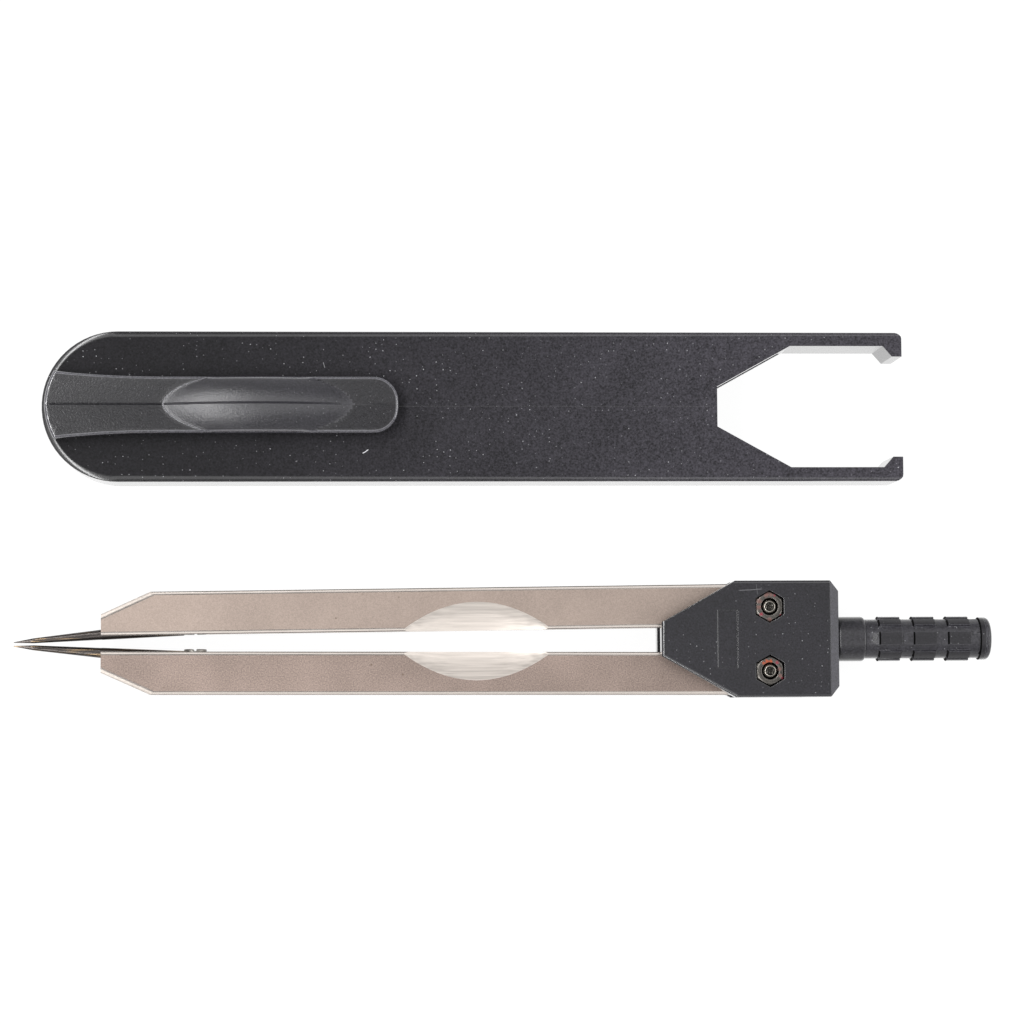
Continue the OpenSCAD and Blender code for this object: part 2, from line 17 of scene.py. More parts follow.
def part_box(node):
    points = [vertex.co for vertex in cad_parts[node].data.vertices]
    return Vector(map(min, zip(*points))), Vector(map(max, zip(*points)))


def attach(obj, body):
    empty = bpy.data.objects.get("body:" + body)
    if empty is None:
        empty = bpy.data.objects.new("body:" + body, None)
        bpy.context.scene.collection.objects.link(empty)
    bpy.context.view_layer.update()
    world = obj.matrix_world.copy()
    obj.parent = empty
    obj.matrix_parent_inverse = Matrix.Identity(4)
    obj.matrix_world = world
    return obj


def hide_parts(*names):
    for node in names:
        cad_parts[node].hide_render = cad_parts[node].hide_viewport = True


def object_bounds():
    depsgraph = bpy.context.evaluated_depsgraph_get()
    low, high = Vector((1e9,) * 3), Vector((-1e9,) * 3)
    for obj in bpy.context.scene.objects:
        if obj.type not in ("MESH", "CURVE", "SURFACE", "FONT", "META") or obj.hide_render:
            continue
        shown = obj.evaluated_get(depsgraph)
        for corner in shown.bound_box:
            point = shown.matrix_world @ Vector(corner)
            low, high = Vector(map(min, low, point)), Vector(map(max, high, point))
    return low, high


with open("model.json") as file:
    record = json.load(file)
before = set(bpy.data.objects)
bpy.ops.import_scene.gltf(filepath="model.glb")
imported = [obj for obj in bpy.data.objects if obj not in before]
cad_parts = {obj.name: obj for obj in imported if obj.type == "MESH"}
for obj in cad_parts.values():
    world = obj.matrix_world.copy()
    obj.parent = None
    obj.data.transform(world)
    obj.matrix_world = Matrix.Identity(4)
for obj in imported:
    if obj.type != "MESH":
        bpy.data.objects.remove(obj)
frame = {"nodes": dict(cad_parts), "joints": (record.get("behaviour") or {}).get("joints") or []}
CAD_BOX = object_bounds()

bl_info = {
    "name": "Dividers and sheath",
    "version": (1, 0, 0),
    "blender": (4, 5, 0),
    "location": "3D View > Sidebar > Dividers",
    "description": "Finishes the dividers, their sheath and the stage they lie on",
    "category": "Object",
}

MM = 0.001
JOINTS = {joint["name"]: joint for joint in frame["joints"]}
UPPER_PIVOT = Vector(JOINTS["upper_pivot"]["pos_m"])
LOWER_PIVOT = Vector(JOINTS["lower_pivot"]["pos_m"])

# Points this close are one, slivers this thin go, and faces that meet at less than this angle are one face.
SAME_POINT = 0.002 * MM
SLIVER = 0.001 * MM
SAME_PLANE = math.radians(0.3)
# A cut through a shell takes points that lie this close to it.
ON_CUT = 0.0001 * MM
# Lines below this angle are smooth.
SMOOTH_BELOW = math.radians(32)
# How much of a level face's normal points straight up.
LEVEL = 0.99
# Nearly all of a noise lies between these values.
NOISE_RANGE = (0.3, 0.7)
# How far a finish departs from its mean roughness.
UNEVEN = 0.08
# Limits of a moulding's polish where all of its faces have it, and where none has.
POLISHED, UNPOLISHED = (1.5, 2.0), (-2.0, -1.0)


def linear(code):
    """Turns an sRGB hex colour into linear red, green and blue."""
    parts = [int(code[at:at + 2], 16) / 255 for at in (1, 3, 5)]
    return tuple(p / 12.92 if p <= 0.04045 else ((p + 0.055) / 1.055) ** 2.4 for p in parts)


def per_mm(size):
    """Scale of a texture whose features are this many millimetres wide."""
    return 1 / (size * MM)


def length(name, description, millimetres):
    """A length that the sidebar shows, given in millimetres."""
    return FloatProperty(name=name, description=description, unit="LENGTH", precision=5, min=0,
                         default=millimetres * MM)


def colour(name, description, code):
    """A colour that the sidebar shows, given as sRGB hex."""
    return FloatVectorProperty(name=name, description=description, subtype="COLOR", size=3, min=0, max=1,
                               default=linear(code))


class DividerSizes(bpy.types.PropertyGroup):
    """Sizes of the eased edges and of the small moulded and turned details."""

    shell_edge: length("Head edge", "Width of the head's rounded outer edges", 0.5)
    sheath_edge: length("Sheath edge", "Width of the notch's eased edges", 0.1)
    rim_spread: length("Rim spread", "How much wider than in the solid the sheath's rounded edges are", 0.45)
    clip_edge: length("Clip edge", "Width of the clip's rounded edges", 0.42)
    groove_width: length("Groove width", "Width of the groove along the clip", 0.36)
    groove_depth: length("Groove depth", "Depth of that groove on the clip's crown", 0.2)
    crown_reach: length("Crown reach", "From the crown's top to its outline's points", 14.2)
    crown_drop: length("Crown drop", "How far the crown falls to the clip's sides", 2.38)
    root_ridge: length("Root ridge", "Height of the clip's ridge where the crown begins", 0.55)
    free_ridge: length("Free ridge", "Height of the clip's ridge on its free end", 0.45)
    bead_width: length("Bead width", "Width of the bead round the crown's root side", 0.3)
    bead_height: length("Bead height", "How far that bead stands proud", 0.07)
    seam_width: length("Seam width", "Width of the moulding seam along the sheath", 0.16)
    seam_height: length("Seam height", "How far that seam stands proud", 0.02)
    collar_edge: length("Collar edge", "Width of the collar's rounded edges", 0.45)
    grip_edge: length("Grip edge", "Width of the pads' eased edges", 0.14)
    pad_lean: length("Pad lean", "How far a pad's wall towards the head leans", 0.2)
    leg_edge: length("Leg edge", "Width of the eased edges where a leg is cut", 0.1)
    steel_edge: length("Steel edge", "Width of the broken edges on bolts, nuts and screws", 0.1)
    fibre_edge: length("Washer edge", "Width of the washers' soft edges", 0.05)
    countersink: length("Nut countersink", "How far it widens the mouth of a nut's hole", 0.3)
    rim_fall: length("Rim fall", "How far the rims of nuts and bolts fall away", 0.05)
    bolt_cup: length("Bolt cup", "Depth of the cup in a bolt's end", 0.14)


class DividerColours(bpy.types.PropertyGroup):
    """Colours of the finishes, as they look in plain white light, but for a few that hold painted light and shade."""

    head_black: colour("Head", "Satin black of the moulded head", "#1d1c21")
    # Painted light: the rear bevel's black is painted paler where light falls on it.
    lit_bevel_black: colour("Rear bevel", "Black of the rear bevel, painted paler as light", "#34333a")
    sheath_black: colour("Sheath", "Dull black of the moulded sheath", "#171619")
    clip_black: colour("Clip", "Satin black of the pocket clip", "#17161a")
    # Painted highlight: the crown's black is painted paler as the sheen of light on it.
    crown_sheen_black: colour("Crown", "Black of the clip's crown, painted paler as sheen", "#28272c")
    # Painted highlight: the clip's rounded rim is painted paler as the bright lines of light along it.
    clip_rim_highlight: colour("Clip rim", "Rim of the clip, painted paler as highlight", "#4c4b51")
    collar_black: colour("Collar", "Smooth black of the handle's collar", "#2a292d")
    grip_black: colour("Grip", "Textured black of the handle's grip", "#29282d")
    pad_black: colour("Pads", "Rubbed darker black of the pads' tops", "#1e1d21")
    # Painted shade on the pads' walls and painted highlight on their edges.
    shaded_wall_black: colour("Pad walls", "Black of the pads' walls, painted dark as shade", "#050506")
    pad_edge_highlight: colour("Pad edges", "Edges of the pads, painted paler as highlight", "#5c5b61")
    dust: colour("Dust", "Pale dust and scratches", "#c4c4c8")
    blasted: colour("Blasted legs", "Bead-blasted flats of the legs", "#a09289")
    # Painted shade: the lower leg's flats are painted darker than the upper leg's; their coarser grain is real.
    coarse_and_shaded: colour("Coarse shaded leg", "Coarser flats of the lower leg, painted darker as shade", "#93847c")
    ground: colour("Ground hollows", "Ground finger hollows of the legs", "#e0d7cf")
    polished: colour("Polished edges", "Polished rounded edges of the legs", "#d4cbc4")
    filed: colour("Filed cuts", "Filed cuts at the legs' points", "#cfc7c0")
    pits: colour("Pits", "Dark pits in the plated legs", "#6a5a4e")
    needle: colour("Needles", "Ground hardened steel of the needles", "#4a4644")
    temper: colour("Temper", "Straw-coloured streaks on the needles", "#8d785c")
    zinc: colour("Zinc", "Zinc plate on the pivot bolts", "#b4afa6")
    nut_zinc: colour("Nut zinc", "Oily zinc plate on the nuts and clamp screws", "#85817c")
    sealant_dull: colour("Dull sealant", "Thin dried thread sealant on the nuts", "#6a4a44")
    sealant_red: colour("Red sealant", "Thick thread sealant on the nuts", "#841f32")
    rust: colour("Rust", "Orange rust on the nuts", "#a5461f")
    stem: colour("Stem", "Drawn steel of the handle's stem", "#a5a5a3")
    fibre: colour("Washers", "Pressed fibre of the friction washers", "#94806a")
    floor: colour("Floor", "Plain white floor", "#ffffff")


def values(context):
    """The sizes and colours that the sidebar shows."""
    return context.scene.divider_sizes, context.scene.divider_colours


def new_object(name, data):
    """A new object that is part of the scene."""
    made = bpy.data.objects.new(name, data)
    bpy.context.scene.collection.objects.link(made)
    return made


def feed(tree, node, inputs):
    """Sets a node's sockets to values, or links them from other sockets or from other nodes' first outputs."""
    for name, given in inputs.items():
        given = given.outputs[0] if isinstance(given, bpy.types.Node) else given
        if isinstance(given, bpy.types.NodeSocket):
            tree.links.new(given, node.inputs[name])
        else:
            node.inputs[name].default_value = given


def add(tree, kind, inputs=None, **settings):
    """Adds a node: settings go on it, and inputs on its sockets."""
    made = tree.nodes.new(kind)
    for name, value in settings.items():
        setattr(made, name, value)
    feed(tree, made, inputs or {})
    return made


def calc(tree, operation, *terms, **settings):
    """Adds a Math node with up to three terms."""
    return add(tree, "ShaderNodeMath", dict(enumerate(terms)), operation=operation, **settings)


def remap(tree, value, start=0.0, end=1.0, low=0.0, high=1.0, **settings):
    """Takes a value from the range between start and end to the one between low and high, and holds it there."""
    return add(tree, "ShaderNodeMapRange",
               {"Value": value, "From Min": start, "From Max": end, "To Min": low, "To Max": high}, **settings)


def noise(tree, place, scale, detail, roughness=0.5):
    """A noise texture."""
    return add(tree, "ShaderNodeTexNoise",
               {"Vector": place, "Scale": scale, "Detail": detail, "Roughness": roughness})


def cells(tree, place, size):
    """Points scattered over cells this many millimetres wide: the distance to the nearest point, in cells, and the
    parts of its random colour."""
    points = add(tree, "ShaderNodeTexVoronoi", {"Vector": place, "Scale": per_mm(size)}, voronoi_dimensions="2D")
    chance = add(tree, "ShaderNodeSeparateColor", {"Color": points.outputs["Color"]})
    return points.outputs["Distance"], chance.outputs


def rgba(tint, times=1.0):
    """A colour this many times as bright, as colour sockets take it."""
    return (*[times * part for part in tint], 1)


def blend(tree, share, first, second, kind="MIX"):
    """Mixes two colours."""
    return add(tree, "ShaderNodeMix", {0: share, 6: first, 7: second}, data_type="RGBA", blend_type=kind).outputs[2]


def mottle(tree, body, tone, contrast, paler=None):
    """A colour that follows a tone up and down, and is made paler where that is given."""
    spread = remap(tree, tone, *NOISE_RANGE, 1 - contrast, 1 + contrast)
    if paler is not None:
        spread = calc(tree, "MULTIPLY", spread, paler)
    return blend(tree, 1.0, rgba(body), spread, "MULTIPLY")


def parts_of(tree, vector):
    """The X, Y and Z of a vector."""
    return add(tree, "ShaderNodeSeparateXYZ", {"Vector": vector}).outputs


def bare_tree(owner):
    """The emptied node tree of a new material or world."""
    owner.use_nodes = True
    owner.node_tree.nodes.clear()
    return owner.node_tree


def new_finish(name):
    """An empty material, its node tree, its shader and the Object coordinates that patterns read."""
    material = bpy.data.materials.new(name)
    tree = bare_tree(material)
    shader = add(tree, "ShaderNodeBsdfPrincipled")
    add(tree, "ShaderNodeOutputMaterial", {"Surface": shader})
    return material, tree, shader, add(tree, "ShaderNodeTexCoord").outputs["Object"]


def dress(tree, shader, tint, roughness, relief, strength, depth, inputs=None):
    """Gives a shader its colour, its roughness, a relief this many millimetres deep, and what else it takes."""
    bump = add(tree, "ShaderNodeBump", {"Height": relief, "Strength": strength, "Distance": depth * MM})
    feed(tree, shader, {"Base Color": tint, "Roughness": roughness, "Normal": bump, **(inputs or {})})


def moulded_black(name, body, specular, roughness=0.3, polish=POLISHED, grain=0.3, grain_depth=0.0, dusty=0.0,
                  contrast=0.5, marks=(), painted_light_along_x=None):
    """Black thermoplastic from a grained mould whose edges and walls were polished. The eye sees a dull black
    that greys softly towards the light, fine grain and dust on what faces up, pale scratches where it was rubbed,
    bright lines along its edges, and walls that mirror the white table at a low angle. polish gives how much of a
    face looks up where its polish is full and where it ends, marks gives each scratch's ends, width and strength,
    and painted_light_along_x gives where along X the black begins to be painted paler as light that falls on it,
    where it is palest, and how many times paler it is there."""
    material, tree, shader, place = new_finish(name)
    lift = parts_of(tree, place.node.outputs["Normal"])["Z"]
    flat = remap(tree, calc(tree, "ABSOLUTE", lift), *polish)
    wall = calc(tree, "SUBTRACT", 1.0, flat)
    lying = remap(tree, lift, 0.6, 0.8)

    cloud_size, fine = 9.0, 0.8
    pits = noise(tree, place, per_mm(grain), 2.0, 0.6)
    cloud = noise(tree, place, per_mm(cloud_size), 3.0)
    tone = calc(tree, "MULTIPLY_ADD", cloud, 1 - fine, calc(tree, "MULTIPLY", pits, fine))
    paler = None
    # Painted light: the black is painted paler along X, towards the side from which more light falls.
    if painted_light_along_x is not None:
        start, end, times = painted_light_along_x
        paler = remap(tree, parts_of(tree, place)["X"], start * MM, end * MM, 1.0, times,
                      interpolation_type="SMOOTHSTEP")
    black = mottle(tree, body, tone, contrast, paler)

    # In millimetres: the cell that can hold a speck of dust, its least radius, how much larger it can be, where it
    # is solid, and the size and reach of the noise that tears it.
    cell, speck, larger, solid, ragged, torn = 1.0, 0.06, 0.05, 0.01, 0.12, 0.14
    shift = noise(tree, place, per_mm(ragged), 1.0).outputs["Color"]
    shifted = add(tree, "ShaderNodeVectorMath", {0: shift, 1: (torn * MM, torn * MM, 0), 2: place},
                  operation="MULTIPLY_ADD")
    distance, chance = cells(tree, shifted, cell)
    near = calc(tree, "MULTIPLY_ADD", chance["Green"], -larger / cell, distance)
    likely = calc(tree, "MULTIPLY_ADD", cloud, 1.2, chance["Red"])
    shown = calc(tree, "MULTIPLY", remap(tree, near, speck / cell, solid / cell),
                 remap(tree, likely, 1.25, 1.7, high=dusty))
    pale = calc(tree, "MULTIPLY", shown, lying)

    for start, end, width, visible in marks:
        wobble = noise(tree, place, per_mm(1.5), 2.0)
        run, middle = Vector(end) - Vector(start), (Vector(start) + Vector(end)) / 2
        line = parts_of(tree, add(tree, "ShaderNodeMapping", {
            "Vector": place, "Location": (*(middle * MM), 0), "Rotation": (0, 0, math.atan2(run.y, run.x))},
            vector_type="TEXTURE"))
        bent = calc(tree, "MULTIPLY_ADD", wobble, 1.6 * width * MM, -0.8 * width * MM)
        off = calc(tree, "ABSOLUTE", calc(tree, "ADD", line["Y"], bent))
        along = calc(tree, "ABSOLUTE", line["X"])
        inside = remap(tree, along, run.length / 2 * MM, run.length / 2.5 * MM)
        edge = remap(tree, off, width * MM, 0.4 * width * MM, high=visible)
        mark = calc(tree, "MULTIPLY", calc(tree, "MULTIPLY", inside, edge), lying)
        pale = calc(tree, "MAXIMUM", pale, mark)
    dusted = blend(tree, pale, black, rgba(bpy.context.scene.divider_colours.dust))

    polished_roughness, grain_strength = 0.12, 0.6
    grained = remap(tree, tone, low=roughness - UNEVEN, high=roughness + UNEVEN)
    dull = add(tree, "ShaderNodeMix", {0: flat, 2: polished_roughness, 3: grained}, data_type="FLOAT")
    dress(tree, shader, dusted, dull, pits, calc(tree, "MULTIPLY", flat, grain_strength), grain_depth, {
        "IOR": 1.53, "Specular IOR Level": specular, "Coat Weight": wall, "Coat Roughness": 0.2, "Coat IOR": 1.62})
    return material


def blasted_nickel(name, body, pit, grain, grain_depth, contrast):
    """Nickel-plated brass blasted with fine beads. The eye sees an even warm grey without reflections, a fine
    crystalline sparkle, slightly darker rubbed clouds and a few dark pits in the plating."""
    material, tree, shader, place = new_finish(name)
    cloud_size, fine = 12.0, 0.7
    # Bead marks are about 0.05 mm across and are drawn a few times coarser, because finer ones don't show.
    beads = noise(tree, place, per_mm(grain), 3.0, 0.65)
    cloud = noise(tree, place, per_mm(cloud_size), 3.0)
    tone = calc(tree, "MULTIPLY_ADD", cloud, 1 - fine, calc(tree, "MULTIPLY", beads, fine))
    cell, spot, solid = 5.0, 0.2, 0.08
    distance, chance = cells(tree, place, cell)
    dark = calc(tree, "MULTIPLY", remap(tree, distance, spot / cell, solid / cell),
                remap(tree, chance["Red"], 0.6, 1.0, high=0.8))
    pitted = blend(tree, dark, mottle(tree, body, tone, contrast), rgba(pit))
    dress(tree, shader, pitted, remap(tree, tone, low=0.48, high=0.6), beads, 0.6, grain_depth, {"Metallic": 1.0})
    return material


def lined_metal(name, body, across, along, contrast, roughness, depth, streaks=None):
    """Metal ground or drawn in one direction. The eye sees fine parallel lines of light and dark, soft along
    their length, on a bright base, and on tempered steel some straw-coloured streaks."""
    material, tree, shader, place = new_finish(name)
    drawn = add(tree, "ShaderNodeMapping",
                {"Vector": place, "Scale": (per_mm(along), per_mm(across), per_mm(across))})
    lines = noise(tree, drawn, 1.0, 4.0, 0.6)
    shade = mottle(tree, body, lines, contrast)
    if streaks is not None:
        cover = remap(tree, noise(tree, drawn, 0.35, 2.0), 0.56, 0.66, high=0.8)
        shade = blend(tree, cover, shade, rgba(streaks))
    dull = remap(tree, lines, low=roughness - UNEVEN, high=roughness + UNEVEN)
    dress(tree, shader, shade, dull, lines, 0.4, depth, {"Metallic": 1.0})
    return material


def turned_zinc(name, zinc):
    """Turned zinc-plated steel. The eye sees bright broken edges round a bolt's end and a much darker cup in it."""
    material, tree, shader, place = new_finish(name)
    cup_edge, cup_full, worn, cup_tone = 0.74 * MM, 0.66 * MM, 0.65, 0.05
    marks = noise(tree, place, per_mm(0.16), 3.0)
    at = parts_of(tree, place)
    side = calc(tree, "SUBTRACT", calc(tree, "ABSOLUTE", at["Y"]), UPPER_PIVOT.y)
    from_axis = add(tree, "ShaderNodeCombineXYZ", {"X": at["X"], "Y": side})
    radius = add(tree, "ShaderNodeVectorMath", {0: from_axis}, operation="LENGTH").outputs["Value"]
    in_cup = calc(tree, "MULTIPLY", remap(tree, radius, cup_edge, cup_full),
                  calc(tree, "GREATER_THAN", at["Z"], UPPER_PIVOT.z))
    # The cup in the bolt's end is painted much darker.
    darker_cup = calc(tree, "MULTIPLY", in_cup, remap(tree, marks, 0.5, 0.62, 1.0, 0.7))
    plate = blend(tree, marks, rgba(zinc, worn), rgba(zinc))
    dress(tree, shader, blend(tree, darker_cup, plate, rgba(zinc, cup_tone)), remap(tree, marks, low=0.2, high=0.4), marks,
          0.5, 0.02, {"Metallic": 1.0})
    return material


def sealed_zinc(name, zinc, patches):
    """Zinc-plated steel with dried thread sealant and a little rust. The eye sees a soft grey metal whose edges
    are bright, with dull pink and red smears and an orange bloom that cling to its corners."""
    material, tree, shader, place = new_finish(name)
    darkest, tear, outer, inner = 0.2, 1.6, 1.85, 1.2
    plate = blend(tree, noise(tree, place, per_mm(0.22), 3.0), rgba(zinc, darkest), rgba(zinc))
    ragged = noise(tree, place, per_mm(0.35), 3.0)
    covered = None
    for x, y, radius, tint in patches:
        # The large scale along Z makes a smear reach through the whole nut.
        away = add(tree, "ShaderNodeMapping", {"Vector": place, "Location": (x * MM, y * MM, 0),
                                               "Scale": (1, 1, 1e6)}, vector_type="TEXTURE")
        away = add(tree, "ShaderNodeVectorMath", {0: away}, operation="LENGTH").outputs["Value"]
        torn = calc(tree, "MULTIPLY_ADD", ragged, tear * radius * MM, away)
        cover = remap(tree, torn, outer * radius * MM, inner * radius * MM, high=0.9)
        plate = blend(tree, cover, plate, rgba(tint))
        covered = cover if covered is None else calc(tree, "MAXIMUM", covered, cover)
    dress(tree, shader, plate, remap(tree, covered, low=0.26, high=0.5), ragged, 0.5, 0.05,
          {"Metallic": remap(tree, covered, low=1.0, high=0.1)})
    return material


def pressed_fibre(name, body):
    """Vulcanised fibre. The eye sees a dull tan with short darker fibres."""
    material, tree, shader, place = new_finish(name)
    fibres = add(tree, "ShaderNodeTexNoise",
                 {"Vector": place, "Scale": per_mm(0.5), "Detail": 4.0, "Distortion": 1.5})
    dress(tree, shader, blend(tree, fibres, rgba(body, 0.6), rgba(body)), 0.75, fibres, 0.5, 0.02)
    return material


def mend(shell):
    """Joins a shell's loose triangles and makes its flat faces whole."""
    bmesh.ops.remove_doubles(shell, verts=shell.verts, dist=SAME_POINT)
    bmesh.ops.dissolve_degenerate(shell, dist=SLIVER, edges=shell.edges)
    bmesh.ops.dissolve_limit(shell, angle_limit=SAME_PLANE, verts=shell.verts, edges=shell.edges)


def merged_copy(node):
    """A CAD node's mesh as one closed shell."""
    shell = bmesh.new()
    shell.from_mesh(frame["nodes"][node].data)
    mend(shell)
    return shell


def make_piece(name, shell, finishes, edge=0.0, steps=2, eased=None, least=25, face_finish=None, edge_finish=-1,
               crisp=None):
    """Turns a shell into an object with eased edges, smooth where it curves and sharp where it was cut. eased
    gives the share of the edge width that a line takes, and least the angle in degrees from which it is eased.
    face_finish and edge_finish choose among the finishes, and crisp tells which lines stay sharp at any angle."""
    shell.normal_update()
    shell.edges.index_update()
    weights = [0.0] * len(shell.edges)
    for line in shell.edges:
        if len(line.link_faces) == 2 and line.calc_face_angle(0.0) > math.radians(least):
            weights[line.index] = 1.0 if eased is None else eased(line)
    sharp = [line.index for line in shell.edges if crisp is not None and crisp(line)]
    for face in shell.faces:
        face.smooth = True
        if face_finish is not None:
            face.material_index = face_finish(face)
    mesh = bpy.data.meshes.new(name)
    shell.to_mesh(mesh)
    shell.free()
    for finish in finishes:
        mesh.materials.append(finish)
    mesh.attributes.new("bevel_weight_edge", "FLOAT", "EDGE").data.foreach_set("value", weights)
    piece = new_object(name, mesh)
    mesh.set_sharp_from_angle(angle=SMOOTH_BELOW)
    for at in sharp:
        mesh.edges[at].use_edge_sharp = True
    if edge > 0:
        ease = piece.modifiers.new("ease", "BEVEL")
        ease.width, ease.segments, ease.material = edge, steps, edge_finish
        ease.limit_method, ease.miter_outer = "WEIGHT", "MITER_ARC"
    piece.modifiers.new("even", "WEIGHTED_NORMAL").keep_sharp = True
    return plain(piece)


def plain(piece):
    """Makes a piece's modifiers part of its mesh."""
    graph = bpy.context.evaluated_depsgraph_get()
    made = bpy.data.meshes.new_from_object(piece.evaluated_get(graph), preserve_all_data_layers=True,
                                           depsgraph=graph)
    old = piece.data
    piece.modifiers.clear()
    piece.data = made
    bpy.data.meshes.remove(old)
    made.name = piece.name
    return piece


def settle(piece, body, slot, *nodes):
    """Lets a piece ride on its body and hides the solids that it stands for. slot is not used."""
    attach(piece, body)
    if nodes:
        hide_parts(*nodes)


def outer_faces(shell):
    """The faces of a shell that nothing of it stands in front of, so those outside its recesses."""
    slack = 0.02 * MM
    corners = [point.co.copy() for point in shell.verts]
    return {face for face in shell.faces
            if max((corner - face.verts[0].co).dot(face.normal) for corner in corners) < slack}


def soften_rim(shell, bottom, top, deep, spread):
    """Makes the rounded outer edges of the sheath wider and flatter, as deep as they were and spread inwards, and
    lets this run out where the arms end."""
    shell.normal_update()
    moves = []
    far, run_out, flatter = max(point.co.x for point in shell.verts), 1.5 * MM, 0.65
    for point in shell.verts:
        for level, side in ((bottom, 1), (top, -1)):
            share = 1 - (point.co.z - level) * side / deep
            slanted = [face.normal for face in point.link_faces if 0.05 < abs(face.normal.z) < 0.998]
            out = sum(slanted, Vector()).xy
            if 0 <= share <= 1 and out.length > 0.1:
                shift = out.normalized() * (spread * share ** 2)
                place = Vector((*(point.co.xy - shift), level + side * flatter * (1 - share) * deep))
                moves.append((point, point.co.lerp(place, min(1.0, (far - point.co.x) / run_out))))
    for point, place in moves:
        point.co = place


def lean_pads(shell, lean, wall_finish, top_finish):
    """Leans the walls of the grip's pads that look towards the head, and gives these walls and the pads' tops
    finishes of their own."""
    shell.normal_update()
    largest = 3 * MM * MM
    for wall in [face for face in shell.faces if face.normal.x < -0.9 and face.calc_area() < largest]:
        wall.material_index = wall_finish
        height = {point: Vector((point.co.y, point.co.z - UPPER_PIVOT.z)).length for point in wall.verts}
        half_way = (min(height.values()) + max(height.values())) / 2
        for point, above in height.items():
            if above < half_way:
                point.co.x -= lean
                continue
            for face in point.link_faces:
                middle = face.calc_center_median()
                outwards = Vector((0, middle.y, middle.z - UPPER_PIVOT.z)).normalized()
                if abs(face.normal.x) < 0.1 and middle.x > point.co.x and face.normal.dot(outwards) > 0.85:
                    face.material_index = top_finish


def bisect(shell, faces, place, across):
    """Cuts some faces of a shell along a plane."""
    around = dict.fromkeys(part for face in faces for part in (*face.verts, *face.edges))
    bmesh.ops.bisect_plane(shell, geom=[*around, *faces], dist=ON_CUT, plane_co=place, plane_no=across)


class ClipTop:
    """The top of the pocket clip: a low roof, a crown with a pointed outline on it, and a groove along both."""

    # From the middle line to where the roof ends, how steep the crown's crease along that line is, how much higher
    # the roof's ridge gets towards the root, and over how much height roof and crown are joined.
    half, crease, root_rise, soft = 4.25 * MM, 0.2, 0.3 * MM, 0.1 * MM
    # Distances between the cuts along X and Y that make the top's grid.
    grid_x, grid_y = 0.4 * MM, 0.25 * MM
    # Places in the clip's list of finishes.
    rim_finish, crown_finish = 1, 2

    def __init__(self, shell, sizes):
        upper = [face for face in shell.faces if face.normal.z > 0.5]
        self.tops = list(dict.fromkeys(point for face in upper for point in face.verts))
        self.sizes = sizes
        self.low, self.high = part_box("pocket_clip")
        self.middle = (self.low.y + self.high.y) / 2
        self.edge = min(point.co.z for point in self.tops)
        self.rise = self.high.z - self.edge - SAME_POINT
        self.top_x = max(self.tops, key=lambda point: point.co.z).co.x

    def fall(self, off):
        """How far the crown falls from its middle line to a distance from it, with a slight crease along it."""
        return self.crease * off + (self.sizes.crown_drop - self.crease * self.half) * (off / self.half) ** 2

    def levels(self, x, y):
        """How far the low roof and the crown stand above the clip's edges."""
        off, along = abs(y - self.middle), (x - self.top_x) / self.sizes.crown_reach
        ridge = self.sizes.root_ridge if along < 0 else self.sizes.free_ridge
        crown = self.rise - (self.rise - ridge) * along ** 2 - self.fall(off)
        roof = (ridge + max(0.0, -1 - along) * self.root_rise) * max(0.0, 1 - off / self.half)
        return roof, crown

    def height(self, x, y):
        """How far the top stands above the clip's edges, with the roof and the crown softly joined."""
        roof, crown = self.levels(x, y)
        return (roof + crown + math.hypot(roof - crown, self.soft)) / 2

    def groove(self, x, y):
        """Depth of the groove, which is deepest on the crown and runs out at the free end."""
        inside = max(0.0, 1 - 2 * abs(y - self.middle) / self.sizes.groove_width)
        along = (x - self.top_x) / self.sizes.crown_reach
        share = numpy.interp(along, (-1.0, -0.8, 0.5, 1.0, 1.4), (0.8, 1.0, 1.0, 0.35, 0.0))
        return inside * self.sizes.groove_depth * share

    def outline(self):
        """Points where the crown rises from the root, from side to side."""
        points, steps, reach = [], 40, 0.92
        full = self.rise - self.sizes.root_ridge
        for step in range(-steps, steps + 1):
            off = abs(step) / steps * reach * self.half
            roof = self.sizes.root_ridge * (1 - off / self.half)
            along = -math.sqrt(max(0.0, (self.rise - self.fall(off) - roof) / full))
            points.append((self.top_x + along * self.sizes.crown_reach,
                           self.middle + math.copysign(off, step), self.edge + roof))
        return points

    def shape(self, shell):
        """Flattens the top of a copy of the clip, rounds its rim, cuts it into a fine grid and raises that."""
        for point in self.tops:
            point.co.z = self.edge
        mend(shell)
        shell.normal_update()
        rim = [line for line in shell.edges if len(line.link_faces) == 2
               and sorted(face.normal.z > LEVEL for face in line.link_faces) == [False, True]]
        rounded = bmesh.ops.bevel(shell, geom=rim, offset=self.sizes.clip_edge, offset_type="OFFSET", segments=3,
                                  profile=0.5, affect="EDGES", clamp_overlap=True)
        for face in rounded["faces"]:
            face.material_index = self.rim_finish
        x = self.low.x + 0.5 * MM
        while x < self.high.x - 0.3 * MM:
            bisect(shell, shell.faces, (x, 0, 0), (1, 0, 0))
            x += self.grid_x
        offsets = [0.0, self.sizes.groove_width / 2] + [self.grid_y * step for step in range(1, 15)]
        for off in sorted({side * off for off in offsets for side in (-1, 1)}):
            shell.normal_update()
            level = [face for face in shell.faces if face.normal.z > LEVEL]
            bisect(shell, level, (0, self.middle + off, 0), (0, 1, 0))
        for face in shell.faces:
            middle = face.calc_center_median()
            roof, crown = self.levels(middle.x, middle.y)
            if middle.z > self.edge - SLIVER and crown > roof:
                face.material_index = self.crown_finish
        for point in shell.verts:
            if point.co.z > self.edge - 1.05 * self.sizes.clip_edge:
                x, y, z = point.co
                point.co.z += self.height(x, y)
                if z > self.edge - SLIVER:
                    point.co.z -= self.groove(x, y)


